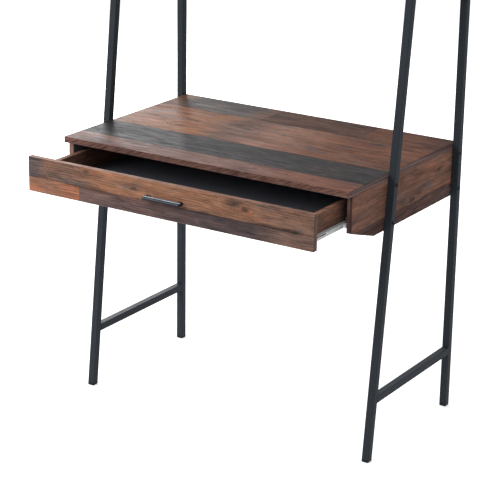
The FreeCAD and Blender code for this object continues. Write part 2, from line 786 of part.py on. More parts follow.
def drawer_runner(name, side):
    """Roll the moving runner: a foot under the drawer side, a web and a flange that rides on the roller."""
    body = add_body(f"{name}_drawer_runner", f"{side} * box_half", "front_back_y", "box_bottom")
    sketch = add_sketch(body, "Y")
    outline = [
        ("-runner_foot", "-runner_sheet"),
        ("runner_sheet", "-runner_sheet"),
        ("runner_sheet", "runner_web - runner_sheet"),
        ("runner_flange", "runner_web - runner_sheet"),
        ("runner_flange", "runner_web"),
        ("0", "runner_web"),
        ("0", "0"),
        ("-runner_foot", "0"),
    ]
    polygon(sketch, [(f"{side} * ({v})", z) for v, z in outline])
    pad(body, sketch, "+Y", "runner_length")
    slot = add_sketch(body, "X")
    rounded(slot, "slot_start + slot_length / 2", "slot_rise", "slot_length", "slot_height", "slot_corner")
    pocket(body, slot, "+X")
    drill(body, "+X", [("spare_hole_inset", "slot_rise")], "spare_hole_radius")
    drill(body, "+X", [("runner_length - roller_inset", "roller_z - box_bottom")], "axle_hole")
    screws = [(f"{y} - front_back_y", "runner_screw_z - box_bottom")
              for y in runner_screw_places("front_back_y")]
    drill(body, "+X", screws, "screw_passage")


def roller(label, x, y, direction):
    """Turn a nylon roller with a bore that runs on its axle and a seat for the axle's head."""
    body = turned(label, [
        ("axle_radius + axle_clearance", "0"),
        ("roller_radius - roller_chamfer", "0"),
        ("roller_radius", "roller_chamfer"),
        ("roller_radius", "roller_width - roller_chamfer"),
        ("roller_radius - roller_chamfer", "roller_width"),
        ("axle_head_radius + roller_play", "roller_width"),
        ("axle_head_radius + roller_play", "roller_width - axle_head_height - roller_play"),
        ("axle_radius + axle_clearance", "roller_width - axle_head_height - roller_play"),
    ], x, y, "roller_z", True)
    # The bindings hold the place, and this turns the roller's own axis to the side it is mounted from
    body.Placement = Placement(body.Placement.Base, aim(direction))


def roller_axle():
    """Turn the rivet that carries a roller: a shoulder against the web and a head in the roller's seat."""
    head = "roller_standoff + roller_width + roller_play"
    return turned("roller_axle", [
        ("0", "-runner_sheet"),
        ("axle_radius", "-runner_sheet"),
        ("axle_radius", "0"),
        ("axle_shoulder_radius", "0"),
        ("axle_shoulder_radius", "roller_standoff"),
        ("axle_radius", "roller_standoff"),
        ("axle_radius", f"{head} - axle_head_height"),
        ("axle_head_radius", f"{head} - axle_head_height"),
        ("axle_head_radius", head),
        ("0", head),
    ])


def runners():
    """Hang the drawer on a pair of roller runners."""
    cabinet_axles = []
    drawer_axles = []
    for name, side in SIDES.items():
        cabinet_runner(name, side)
        drawer_runner(name, side)
        cabinet_x = f"{side} * (inner_x - runner_sheet)"
        drawer_x = f"{side} * (box_half + runner_sheet)"
        shift = f"{side} * (roller_standoff + roller_play)"
        roller(f"{name}_front_roller", f"{cabinet_x} - {shift}", "front_roller_y", way(-side))
        roller(f"{name}_rear_roller", f"{drawer_x} + {shift}", "rear_roller_y", way(side))
        cabinet_axles.append((cabinet_x, "front_roller_y", "roller_z", aim(way(-side))))
        drawer_axles.append((drawer_x, "rear_roller_y", "roller_z", aim(way(side))))
    axle = roller_axle()
    group("cabinet_roller_axles", axle, cabinet_axles)
    group("drawer_roller_axles", axle, drawer_axles)


# Fasteners


def screw(label, radius, length, head_radius, head_height):
    """Turn a pan-head screw whose head sits on the plane through its origin."""
    return turned(label, [
        ("0", f"-({length})"),
        (radius, f"{radius} - ({length})"),
        (radius, "0"),
        (head_radius, "0"),
        (head_radius, f"{head_height} * head_rim_share"),
        (f"{head_radius} * head_crown_share", head_height),
        ("0", head_height),
    ])


def frame_bolts():
    """Bolt each post to the desk box through a threaded insert in the side panel."""
    bolt = turned("frame_bolt", [
        ("0", "-tube_size - bolt_bite"),
        ("bolt_radius", "-tube_size - bolt_bite"),
        ("bolt_radius", "0"),
        ("bolt_head_radius", "0"),
        ("bolt_head_radius", "bolt_head_height * head_rim_share"),
        ("bolt_head_radius * head_crown_share", "bolt_head_height"),
        ("bolt_socket_radius", "bolt_head_height"),
        ("bolt_socket_radius", "bolt_head_height - bolt_socket_depth"),
        ("0", "bolt_head_height - bolt_socket_depth"),
    ])
    insert = turned("bolt_insert", [
        ("bolt_radius + fit_clearance", "0"),
        ("insert_radius", "0"),
        ("insert_radius", "-insert_length"),
        ("bolt_radius + fit_clearance", "-insert_length"),
    ])
    bolts = []
    inserts = []
    for side in SIDES.values():
        for z in ("upper_bolt_z", "lower_bolt_z"):
            for y in (f"front_post_y + slope * {z}", "rear_post_y"):
                bolts.append((f"{side} * half_width", y, z, aim(way(side))))
                inserts.append((f"{side} * half_top", y, z, aim(way(side))))
    group("frame_bolts", bolt, bolts)
    group("bolt_inserts", insert, inserts)


def wood_screws():
    """Drive the screws of the shelves, the runners and the drawer's back."""
    head = ("screw_head_radius", "screw_head_height")
    shelf_screw = screw("shelf_screw", "screw_radius", "tube_size + shelf_screw_bite", *head)
    short_screw = screw("runner_screw", "screw_radius", "runner_sheet + screw_bite", *head)
    long_screw = screw("back_screw", "screw_radius", "back_screw_length", *head)
    shelf_places = []
    cabinet_places = []
    drawer_places = []
    back_places = []
    for side in SIDES.values():
        for height in ("mid_shelf_height", "top_shelf_height"):
            shelf_places += [(f"{side} * post_x", y, f"{height} - board_thickness - tube_size", aim("-Z"))
                             for y in shelf_screw_places(height)]
        cabinet_places += [(f"{side} * (inner_x - runner_sheet)", y, "cabinet_screw_z", aim(way(-side)))
                           for y in runner_screw_places("cabinet_front_y")]
        drawer_places += [(f"{side} * (box_half + runner_sheet)", y, "runner_screw_z", aim(way(side)))
                          for y in runner_screw_places("front_back_y")]
        back_places += [(f"{side} * (box_half - screw_head_height)", "box_back_mid_y", z, aim(way(side)))
                        for z in back_screw_heights()]
    group("shelf_screws", shelf_screw, shelf_places)
    group("cabinet_runner_screws", short_screw, cabinet_places)
    group("drawer_runner_screws", short_screw, drawer_places)
    group("drawer_back_screws", long_screw, back_places)


def handle_screws():
    """Hold the handle with two machine screws from inside the drawer."""
    master = screw("handle_screw", "handle_screw_radius", "board_thickness + handle_screw_bite",
                   "handle_head_radius", "handle_head_height")
    group("handle_screws", master,
          [(f"{side} * handle_span / 2", "front_back_y", "handle_z", aim("+Y")) for side in SIDES.values()])


def cam_bolt():
    """Turn a cam bolt: a screwed end, a shaft and a head on a thin neck, from the joint's face."""
    neck_end = "cam_setback - fit_clearance - cam_head_height"
    return turned("cam_bolt", [
        ("0", "-cam_bite"),
        ("cam_thread_radius", "-cam_bite"),
        ("cam_thread_radius", "0"),
        ("cam_shaft_radius", "0"),
        ("cam_shaft_radius", f"{neck_end} - cam_neck_length"),
        ("cam_neck_radius", f"{neck_end} - cam_neck_length"),
        ("cam_neck_radius", neck_end),
        ("cam_head_radius", neck_end),
        ("cam_head_radius", "cam_setback - fit_clearance"),
        ("0", "cam_setback - fit_clearance"),
    ])


def cam_lock(label, axis_depth):
    """Turn a cam lock and open its mouth, which takes the head of the bolt at half the board's depth."""
    outline = [("0", "0"), ("cam_radius", "0"), ("cam_radius", "-cam_height"), ("0", "-cam_height")]
    body = turned(label, outline)
    mouth = add_sketch(body, "X")
    circle(mouth, "0", f"-({axis_depth})", "cam_head_radius + fit_clearance")
    pocket(body, mouth, "+X", "cam_radius + overrun")
    return body


def cams_and_dowels():
    """Join the boards of the desk box and of the drawer with cam fittings and dowels."""
    bolts = []
    locks = []
    pegs = []
    drawer_bolts = []
    drawer_locks = []
    drawer_pegs = []
    for side in SIDES.values():
        inwards = way(-side)
        outwards = way(side)
        for y in ("cam_front_y", "cam_rear_y"):
            bolts.append((f"{side} * panel_mid_x", y, "desk_underside", aim("-Z")))
            locks.append((f"{side} * inner_x", y, "lock_z", lock_turn(inwards, "+Z")))
        for y in ("dowel_front_y", "dowel_rear_y"):
            pegs.append((f"{side} * panel_mid_x", y, "desk_underside", aim("-Z")))
        bolts.append((f"{side} * back_cam_spacing / 2", "back_mid_y", "desk_underside", aim("-Z")))
        locks.append((f"{side} * back_cam_spacing / 2", "back_front_y", "lock_z", lock_turn("-Y", "+Z")))
        pegs.append((f"{side} * back_dowel_spacing / 2", "back_mid_y", "desk_underside", aim("-Z")))
        bolts.append((f"{side} * inner_x", "back_mid_y", "end_cam_z", aim(inwards)))
        locks.append((f"{side} * lock_x", "back_front_y", "end_cam_z", lock_turn("-Y", outwards)))
        pegs.append((f"{side} * inner_x", "back_mid_y", "end_dowel_z", aim(inwards)))
        drawer_bolts.append((f"{side} * box_mid_x", "front_back_y", "drawer_cam_z", aim("+Y")))
        drawer_locks.append((f"{side} * box_inner", "front_back_y + cam_setback", "drawer_cam_z",
                             lock_turn(inwards, "-Y")))
        for z in drawer_dowel_heights():
            drawer_pegs.append((f"{side} * box_mid_x", "front_back_y", z, aim("+Y")))
    bolt = cam_bolt()
    dowel = turned("dowel", [
        ("0", "-dowel_bite"),
        ("dowel_radius - dowel_chamfer", "-dowel_bite"),
        ("dowel_radius", "dowel_chamfer - dowel_bite"),
        ("dowel_radius", "dowel_length - dowel_bite - dowel_chamfer"),
        ("dowel_radius - dowel_chamfer", "dowel_length - dowel_bite"),
        ("0", "dowel_length - dowel_bite"),
    ])
    group("cam_bolts", bolt, bolts)
    group("cam_locks", cam_lock("cam_lock", "board_thickness / 2"), locks)
    group("dowels", dowel, pegs)
    group("drawer_cam_bolts", bolt, drawer_bolts)
    group("drawer_cam_locks", cam_lock("drawer_cam_lock", "drawer_board / 2"), drawer_locks)
    group("drawer_dowels", dowel, drawer_pegs)


def check_model():
    """Stop if a feature failed, a cut removed nothing or a piece is not sound."""
    for item in doc.Objects:
        if {"Invalid", "Error"} & set(item.State):
            raise RuntimeError(f"{item.Label} failed: {item.State}")
        if item.TypeId == "PartDesign::Pocket":
            removed = item.BaseFeature.Shape.Volume - item.Shape.Volume
            if removed < TINY_VOLUME:
                raise RuntimeError(f"{item.Label} cuts nothing")
    for node in nodes:
        if node.Shape.isNull() or not node.Shape.isValid() or not node.Shape.Solids:
            raise RuntimeError(f"{node.Label} has no sound shape")


desk_top()
for side_name, side_sign in SIDES.items():
    side_panel(side_name, side_sign)
    drawer_side(side_name, side_sign)
back_panel()
tube_frame()
drawer_front()
drawer_back()
drawer_bottom()
drawer_handle()
runners()
frame_bolts()
wood_screws()
handle_screws()
cams_and_dowels()
doc.recompute()
check_model()

os.makedirs("parts", exist_ok=True)
for node in nodes:
    node.Shape.exportStep(f"parts/{node.Label}.step")
print(len(nodes), "nodes written")
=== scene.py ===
"""Looks of the ladder desk: printed plank boards, powder-coated tubes and white roller runners.

Lengths are in metres and colours are linear. A board is described by three axis letters: the way that its
grain runs, the way across its planks, and its thickness.
"""

import json
import math

import bmesh
import bpy
from mathutils import Matrix, Vector


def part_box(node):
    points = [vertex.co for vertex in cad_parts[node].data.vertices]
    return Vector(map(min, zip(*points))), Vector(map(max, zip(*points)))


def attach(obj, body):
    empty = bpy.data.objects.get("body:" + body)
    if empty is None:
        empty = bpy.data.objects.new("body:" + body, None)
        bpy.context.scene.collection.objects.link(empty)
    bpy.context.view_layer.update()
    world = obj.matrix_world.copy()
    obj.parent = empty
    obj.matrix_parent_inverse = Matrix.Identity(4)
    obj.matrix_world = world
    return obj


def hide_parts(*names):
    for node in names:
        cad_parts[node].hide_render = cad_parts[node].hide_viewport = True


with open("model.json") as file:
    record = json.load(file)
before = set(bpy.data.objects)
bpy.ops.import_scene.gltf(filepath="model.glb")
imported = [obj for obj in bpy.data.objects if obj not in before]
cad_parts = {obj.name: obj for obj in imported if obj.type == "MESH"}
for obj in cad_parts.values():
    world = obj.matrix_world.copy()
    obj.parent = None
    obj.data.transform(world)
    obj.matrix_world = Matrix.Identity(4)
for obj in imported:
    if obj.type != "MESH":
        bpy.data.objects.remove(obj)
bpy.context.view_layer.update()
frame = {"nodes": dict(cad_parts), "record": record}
nodes = frame["nodes"]

# Tones of the boards
TONES = {
    "mauve": (0.161, 0.091, 0.078),
    "rose": (0.168, 0.077, 0.054),
    "charcoal": (0.036, 0.034, 0.035),
    "slate": (0.076, 0.080, 0.079),
    "tan": (0.230, 0.122, 0.089),
    "honey": (0.295, 0.146, 0.089),
    "amber": (0.222, 0.092, 0.042),
    "copper": (0.335, 0.143, 0.087),
    "russet": (0.144, 0.064, 0.041),
    "walnut": (0.195, 0.110, 0.080),
    "chestnut": (0.201, 0.104, 0.076),
    "taupe": (0.175, 0.107, 0.085),
    "umber": (0.128, 0.068, 0.048),
    "bark": (0.076, 0.038, 0.028),
    "smoke": (0.120, 0.089, 0.085),
    "ash": (0.072, 0.061, 0.058),
    "plum": (0.144, 0.093, 0.085),
    "dark_plum": (0.074, 0.055, 0.057),
    "wine": (0.121, 0.081, 0.075),
    "mulberry": (0.092, 0.052, 0.047),
    "rosewood": (0.150, 0.089, 0.076),
    "dusk": (0.146, 0.107, 0.106),
    # A darker and a paler copy of the side panels' end band tone: painted shade and painted light
    "shaded_heather": (0.105, 0.069, 0.065),
    "lit_pale_walnut": (0.201, 0.136, 0.120),
    # Dark tones laid on faces turned into the cabinet and the drawer: painted shade
    "inner_shade": (0.100, 0.107, 0.135),
    "inner_brown_shade": (0.128, 0.078, 0.060),
    "crack": (0.022, 0.018, 0.018),
    "knot": (0.036, 0.031, 0.031),
    "worn": (0.300, 0.200, 0.155),
    "spark": (0.046, 0.030, 0.025),
}

# Rows of planks from a board's front or lower edge: the row's share of the board's width, then the tones at
# shares of its length; two tones at one share meet in a butt joint, and others fade into each other
PLANK_SHARES = {
    "desk_top": [
        (0.133, [(0, "mauve"), (0.55, "mauve"), (0.80, "rose"), (1, "rose")]),
        (0.237, [(0, "charcoal"), (1, "charcoal")]),
        (0.410, [(0, "tan"), (0.28, "amber"), (0.36, "umber"), (0.52, "tan"), (0.72, "russet"),
                 (1, "russet")]),
        (0.220, [(0, "umber"), (0.03, "umber"), (0.08, "ash"), (0.30, "ash"), (0.38, "umber"),
                 (0.38, "bark"), (0.74, "bark"), (0.74, "russet"), (1, "bark")]),
    ],
    "drawer_front": [
        (0.430, [(0, "honey"), (0.07, "tan"), (0.125, "honey"), (0.14, "copper"), (0.192, "copper"),
                 (0.192, "plum"), (0.32, "plum"), (0.67, "dark_plum"), (0.80, "dark_plum"),
                 (0.90, "taupe"), (1, "taupe")]),
        (0.570, [(0, "smoke"), (0.035, "smoke"), (0.07, "walnut"), (0.16, "walnut"), (0.28, "honey"),
                 (0.66, "honey"), (0.86, "walnut"), (1, "walnut")]),
    ],
    "side_panel": [
        (0.265, [(0, "mulberry"), (0.5, "mulberry"), (1, "wine")]),
        (0.735, [(0, "chestnut"), (0.65, "chestnut"), (1, "tan")]),
    ],
    "back_panel": [
        (0.30, [(0, "plum"), (0.35, "plum"), (0.35, "honey"), (0.58, "copper"), (0.58, "charcoal"),
                (1, "charcoal")]),
        (0.42, [(0, "russet"), (0.3, "tan"), (0.7, "honey"), (1, "umber")]),
        (0.28, [(0, "slate"), (0.55, "slate"), (0.55, "mauve"), (1, "rose")]),
    ],
    "mid_shelf": [
        (0.30, [(0, "tan"), (0.35, "honey"), (0.8, "russet"), (1, "umber")]),
        (0.38, [(0, "charcoal"), (0.64, "charcoal"), (0.64, "smoke"), (1, "plum")]),
        (0.32, [(0, "russet"), (0.42, "umber"), (0.42, "mauve"), (1, "rose")]),
    ],
    "top_shelf": [
        (0.34, [(0, "mauve"), (0.55, "rose"), (0.55, "honey"), (1, "tan")]),
        (0.40, [(0, "umber"), (0.4, "tan"), (1, "russet")]),
        (0.26, [(0, "slate"), (0.7, "slate"), (0.7, "umber"), (1, "bark")]),
    ],
    "drawer_board": [
        (1.0, [(0, "chestnut"), (0.5, "umber"), (1, "umber")]),
    ],
}

# Knots of a board: shares of its length and width, and the knot's radius
KNOTS = {
    "desk_top": [((0.21, 0.48), 0.010), ((0.83, 0.72), 0.014), ((0.66, 0.07), 0.006),
                 ((0.41, 0.60), 0.012)],
    "drawer_front": [((0.217, 0.88), 0.007), ((0.735, 0.88), 0.016), ((0.775, 0.74), 0.008),
                     ((0.39, 0.70), 0.006), ((0.94, 0.42), 0.006)],
    "side_panel": [((0.565, 0.36), 0.009), ((0.83, 0.70), 0.008)],
    "back_panel": [((0.24, 0.62), 0.010), ((0.71, 0.48), 0.008)],
    "mid_shelf": [((0.30, 0.17), 0.010), ((0.74, 0.80), 0.009)],
    "top_shelf": [((0.58, 0.55), 0.011)],
    "drawer_board": [],
}

# Each board's print, its axes, the sign along its thickness of the face that gets a dark lining tone as
# painted shade, that lining tone, and the tones of its edge bands, along the grain and across its ends
BOARDS = {
    "desk_top": ("desk_top", "XYZ", -1, "inner_shade", "rosewood", "dusk"),
    "drawer_front": ("drawer_front", "XZY", 1, "inner_brown_shade", "walnut", "smoke"),
    # The left panel's end band is painted paler and the right panel's darker: painted light and painted shade
    "left_side_panel": ("side_panel", "YZX", 1, "inner_shade", "rosewood", "lit_pale_walnut"),
    "right_side_panel": ("side_panel", "YZX", -1, "inner_shade", "rosewood", "shaded_heather"),
    "back_panel": ("back_panel", "XZY", -1, "inner_shade", "rosewood", "dusk"),
    "mid_shelf": ("mid_shelf", "XYZ", 0, None, "rosewood", "dusk"),
    "top_shelf": ("top_shelf", "XYZ", 0, None, "rosewood", "dusk"),
    "drawer_left_side": ("drawer_board", "YZX", 0, None, "walnut", "umber"),
    "drawer_right_side": ("drawer_board", "YZX", 0, None, "walnut", "umber"),
    "drawer_back": ("drawer_board", "XZY", 0, None, "walnut", "umber"),
}

# Other finishes: base colour, roughness, metallic and level of gloss
FINISHES = {
    "powder_coat": ((0.0285, 0.0345, 0.042), 0.52, 0.0, 0.05),
    "black_handle": ((0.003, 0.005, 0.010), 0.20, 0.0, 0.20),
    "black_bolt": ((0.014, 0.015, 0.018), 0.36, 0.0, 0.05),
    "black_plastic": ((0.013, 0.014, 0.017), 0.46, 0.0, 0.10),
    "runner_white": ((0.56, 0.57, 0.57), 0.38, 0.0, 0.50),
    "nylon": ((0.72, 0.72, 0.70), 0.42, 0.0, 0.50),
    "zinc_steel": ((0.60, 0.60, 0.60), 0.34, 1.0, 0.50),
    "hardboard": ((0.085, 0.088, 0.104), 0.55, 0.0, 0.12),
}
# Their surfaces: fine bumps and wide clouds to a metre, the clouds' depth, the bumps' strength and height
SURFACES = {
    "powder_coat": (2600.0, 14.0, 0.14, 0.35, 0.00012),
    "black_handle": (1800.0, 20.0, 0.10, 0.08, 0.00005),
    "black_bolt": (1500.0, 60.0, 0.25, 0.10, 0.00005),
    "black_plastic": (1900.0, 40.0, 0.12, 0.30, 0.0001),
    "runner_white": (1400.0, 25.0, 0.04, 0.10, 0.00008),
    "nylon": (900.0, 60.0, 0.05, 0.12, 0.0001),
    "zinc_steel": (2200.0, 120.0, 0.18, 0.12, 0.00004),
    "hardboard": (700.0, 12.0, 0.25, 0.25, 0.0002),
}
GLOSS_TINTS = {"black_handle": (0.82, 0.91, 1.0)}
PLAIN_TINT = (1.0, 1.0, 1.0)
SHEEN_SWING = 0.16
BUMP_DETAIL = 2.0
CLOUD_DETAIL = 4.0
BEECH_COLOUR = (0.56, 0.37, 0.21)
BEECH_ROUGHNESS = 0.58
BEECH_PART = 0.4
BEECH_BUMP = (0.2, 0.0002)

# Features of the grain: how many there are to a metre along and across it, then their noise's detail,
# roughness and distortion
GRAIN = {
    "wander": ((3.0, 11.0), 2.0, 0.5, 0.0),
    "figure": ((9.0, 150.0), 4.0, 0.62, 0.8),
    "streaks": ((12.0, 62.0), 4.0, 0.6, 0.6),
    "pores": ((40.0, 760.0), 2.0, 0.6, 0.0),
    "blotches": ((7.0, 22.0), 4.0, 0.62, 0.4),
    "flecks": ((40.0, 230.0), 3.0, 0.55, 0.5),
    "sparks": ((26.0, 150.0), 3.0, 0.6, 0.5),
    "scratches": ((24.0, 380.0), 1.0, 0.4, 0.0),
    "growth": ((2.2, 13.0), 3.0, 0.55, 0.0),
    "growth_patches": ((4.0, 16.0), 2.0, 0.5, 0.0),
    "knot_rim": ((90.0, 160.0), 3.0, 0.6, 0.0),
    "strokes": ((26.0, 340.0), 2.0, 0.5, 0.0),
    "band_shade": ((7.0, 22.0), 3.0, 0.6, 0.0),
    "rubbed": ((60.0, 60.0), 3.0, 0.7, 0.0),
    "smoke": ((12.0, 62.0), 3.0, 0.6, 0.0),
}
# Where a feature begins to show and where it is full, then its strength there if that isn't 1
SHOWS = {
    "flecks": (0.61, 0.74),
    "sparks": (0.56, 0.72, 0.8),
    "scratches": (0.69, 0.76, 0.7),
    "growth": (0.0, 1.0),
    "growth_patches": (0.40, 0.62),
    "greyed": (0.53, 0.74, 0.70),
    "warmed": (0.47, 0.30),
    "knot_core": (1.35, 0.1, 0.74),
    "strokes": (0.34, 0.66),
    "band_shade": (0.45, 0.62),
    "rubbed": (0.42, 0.75),
    "smoke": (0.42, 0.66, 0.55),
}

# The plank print: how its features add up, and what they do to a plank's tone
PRINT_STEP = (7.3, 3.1, 1.7)
FIRST_PART = 0.13
ROW_PART = 0.31
PLANK_PART = 0.17
WANDER_REACH = 0.016
GROWTH_PITCH = 0.0062
GROWTH_REACH = 0.024
GROWTH_DEPTH = 0.34
SCRATCH_TILT = math.radians(38)
FIGURE_WEIGHT = 1.3
STREAK_WEIGHT = 1.5
PORE_WEIGHT = 0.5
LINES_FLOOR = -1.15
FLECK_STRENGTH = 0.6
DARK_LINES = (0.48, 0.50, 0.54)
LIGHT_LINES = (1.48, 1.44, 1.38)
GREY_TINT = (0.66, 0.68, 0.71)
WARM_TINT = (1.22, 1.05, 0.94)

# Knots: their shape along, across and through the board, then their ragged rim, push, rings and halo
PRINT_PLANE = (1, 1, 0)
KNOT_SHAPE = (0.5, 1, 0)
KNOT_RAGGED = 1.3
KNOT_FALL = 0.35
KNOT_PUSH = 0.85
KNOT_RINGS = 9.0
KNOT_HALO = 0.24
HALF_WAVE = 0.5

# Edge bands, seams, rubbed arrises and the dark lining tone that paints shade on faces turned into the desk
STROKE_TILT = math.radians(23)
DARK_STROKES = (0.60, 0.50, 0.48)
LIGHT_STROKES = (1.55, 1.42, 1.30)
BAND_SHADE = (0.80, 0.82, 0.85)
END_STRIPES = 0.5
END_STRETCH = 0.14
SEAM_WIDTH = 0.0009
SEAM_SMOKE = 0.009
SEAM_CORE = 0.25
SEAM_STRENGTH = 0.7
SEAM_DEPTH = 2.0
WEAR_WIDTH = 0.0018
WEAR_FADE = 0.0004
WEAR_STRENGTH = 0.35
SHADED_LINING_PRINT = 0.08
# A face is turned along an axis when its normal has more than this along it
FACING = 0.5

# The laminate's sheen and relief
LAMINATE_GLOSS = 0.012
LAMINATE_ROUGHNESS = 0.61
LAMINATE_SWING = -0.24
LAMINATE_BUMP = (0.22, 0.0004)


# Node helpers


def add_node(tree, kind, inputs=None, **settings):
    """Add a node, set its properties and feed its inputs from numbers, colours or other nodes' sockets."""
    made = tree.nodes.new(kind)
    for name, setting in settings.items():
        setattr(made, name, setting)
    for key, value in (inputs or {}).items():
        feed(tree, value, made.inputs[key])
    return made


def feed(tree, value, socket):
    """Link a socket, or set its own value."""
    if isinstance(value, bpy.types.NodeSocket):
        tree.links.new(value, socket)
    elif socket.type == "RGBA":
        socket.default_value = (*value, 1)
    else:
        socket.default_value = value


def sums(tree, operation, *values, clamp=False):
    """Work out one number from others."""
    made = add_node(tree, "ShaderNodeMath", operation=operation, use_clamp=clamp)
    for value, socket in zip(values, made.inputs):
        feed(tree, value, socket)
    return made.outputs[0]


def vectors(tree, operation, *values):
    """Work out one vector, or its length, from others."""
    made = add_node(tree, "ShaderNodeVectorMath", operation=operation)
    for value, socket in zip(values, made.inputs):
        feed(tree, value, socket)
    return made.outputs["Value" if operation == "LENGTH" else "Vector"]


def stretched(tree, vector, factor):
    """Make a vector longer or shorter."""
    made = add_node(tree, "ShaderNodeVectorMath", {"Vector": vector, "Scale": factor}, operation="SCALE")
    return made.outputs["Vector"]


def turned(tree, vector, angle):
    """Turn a vector in the plane of the print."""
    inputs = {"Vector": vector, "Angle": angle}
    return add_node(tree, "ShaderNodeVectorRotate", inputs, rotation_type="Z_AXIS").outputs[0]


def split(tree, vector):
    """Take a vector apart."""
    return add_node(tree, "ShaderNodeSeparateXYZ", {"Vector": vector}).outputs


def joined(tree, x=0.0, y=0.0, z=0.0):
    """Make a vector of three numbers."""
    return add_node(tree, "ShaderNodeCombineXYZ", {"X": x, "Y": y, "Z": z}).outputs[0]


def mix_colours(tree, factor, first, second, blend="MIX"):
    """Mix two colours."""
    made = add_node(tree, "ShaderNodeMix", data_type="RGBA", blend_type=blend)
    colours = [socket for socket in made.inputs if socket.type == "RGBA"]
    feed(tree, factor, made.inputs[0])
    feed(tree, first, colours[0])
    feed(tree, second, colours[1])
    return next(socket for socket in made.outputs if socket.type == "RGBA")


def tinted(tree, colour, tint):
    """Multiply a colour by a tint."""
    return mix_colours(tree, 1.0, colour, tint, "MULTIPLY")


def mix_numbers(tree, factor, first, second):
    """Mix two numbers."""
    made = add_node(tree, "ShaderNodeMix", {0: factor, 2: first, 3: second}, data_type="FLOAT")
    return made.outputs[0]


def ease(tree, value, start, end, full=1.0):
    """Rise smoothly from 0 at the start to the full value at the end."""
    inputs = {"Value": value, "From Min": start, "From Max": end, "To Min": 0.0, "To Max": full}
    made = add_node(tree, "ShaderNodeMapRange", inputs, interpolation_type="SMOOTHSTEP")
    return made.outputs["Result"]


def share_of(tree, value, low, high):
    """Say how far a coordinate lies between two ends, from 0 to 1."""
    made = add_node(tree, "ShaderNodeMapRange", {"Value": value, "From Min": low, "From Max": high})
    return made.outputs["Result"]


def noise(tree, vector, feature):
    """Make a feature's noise, drawn out along the grain."""
    (along, across), detail, roughness, distortion = GRAIN[feature]
    place = vectors(tree, "MULTIPLY", vector, (along, across, across))
    made = add_node(tree, "ShaderNodeTexNoise", {"Vector": place, "Scale": 1.0, "Detail": detail,
                                                 "Roughness": roughness, "Distortion": distortion})
    return made.outputs[0]


def start_group(name, inputs, outputs):
    """Start a node group with named sockets, and hand out the group and what comes in and goes out."""
    group = bpy.data.node_groups.new(name, "ShaderNodeTree")
    for socket, kind in inputs.items():
        group.interface.new_socket(socket, in_out="INPUT", socket_type="NodeSocket" + kind)
    for socket, kind in outputs.items():
        group.interface.new_socket(socket, in_out="OUTPUT", socket_type="NodeSocket" + kind)
    return group, group.nodes.new("NodeGroupInput").outputs, group.nodes.new("NodeGroupOutput").inputs


def use_group(tree, group, inputs):
    """Place a node group and feed it."""
    return add_node(tree, "ShaderNodeGroup", inputs, node_tree=group).outputs


# Shared effects


def wood_print_group():
    """Print one plank: wandering growth lines, pores, grey weathering and dark flecks over a tone."""
    group, given, put = start_group("wood_print", {"Vector": "Vector", "Tone": "Color", "Shift": "Float"},
                                    {"Color": "Color", "Height": "Float"})
    tone = given["Tone"]
    place = vectors(group, "ADD", given["Vector"], stretched(group, PRINT_STEP, given["Shift"]))
    bend = sums(group, "MULTIPLY_ADD", noise(group, place, "wander"), WANDER_REACH, -WANDER_REACH / 2)
    place = vectors(group, "ADD", place, joined(group, y=bend))
    blotches = noise(group, place, "blotches")
    flecks = ease(group, noise(group, place, "flecks"), *SHOWS["flecks"])
    sparks = ease(group, noise(group, place, "sparks"), *SHOWS["sparks"])
    scratches = noise(group, turned(group, place, SCRATCH_TILT), "scratches")
    scratches = ease(group, scratches, *SHOWS["scratches"])
    lines = sums(group, "MULTIPLY_ADD", noise(group, place, "streaks"), STREAK_WEIGHT, LINES_FLOOR)
    lines = sums(group, "MULTIPLY_ADD", noise(group, place, "figure"), FIGURE_WEIGHT, lines)
    lines = sums(group, "MULTIPLY_ADD", growth_lines(group, place), -GROWTH_DEPTH, lines)
    lines = sums(group, "MULTIPLY_ADD", noise(group, place, "pores"), PORE_WEIGHT, lines, clamp=True)
    colour = mix_colours(group, lines, tinted(group, tone, DARK_LINES), tinted(group, tone, LIGHT_LINES))
    level = add_node(group, "ShaderNodeRGBToBW", {"Color": colour}).outputs[0]
    grey = add_node(group, "ShaderNodeCombineColor", {"Red": level, "Green": level, "Blue": level}).outputs[0]
    greyed = ease(group, blotches, *SHOWS["greyed"])
    colour = mix_colours(group, greyed, colour, tinted(group, grey, GREY_TINT))
    warmed = ease(group, blotches, *SHOWS["warmed"])
    colour = mix_colours(group, warmed, colour, tinted(group, colour, WARM_TINT))
    pale = mix_colours(group, 1.0, colour, TONES["spark"], "ADD")
    colour = mix_colours(group, sparks, colour, pale)
    marks = sums(group, "MAXIMUM", sums(group, "MULTIPLY", flecks, FLECK_STRENGTH), scratches)
    feed(group, mix_colours(group, marks, colour, TONES["crack"]), put["Color"])
    feed(group, sums(group, "SUBTRACT", lines, flecks), put["Height"])
    return group


def growth_lines(group, place):
    """Draw dark yearly lines that wander along the grain and fade in and out in patches."""
    across = split(group, place)[1]
    drawn = sums(group, "MULTIPLY_ADD", noise(group, place, "growth"), GROWTH_REACH, across)
    wave = sums(group, "SINE", sums(group, "MULTIPLY", drawn, math.tau / GROWTH_PITCH))
    patches = ease(group, noise(group, place, "growth_patches"), *SHOWS["growth_patches"])
    return sums(group, "MULTIPLY", ease(group, wave, *SHOWS["growth"]), patches)


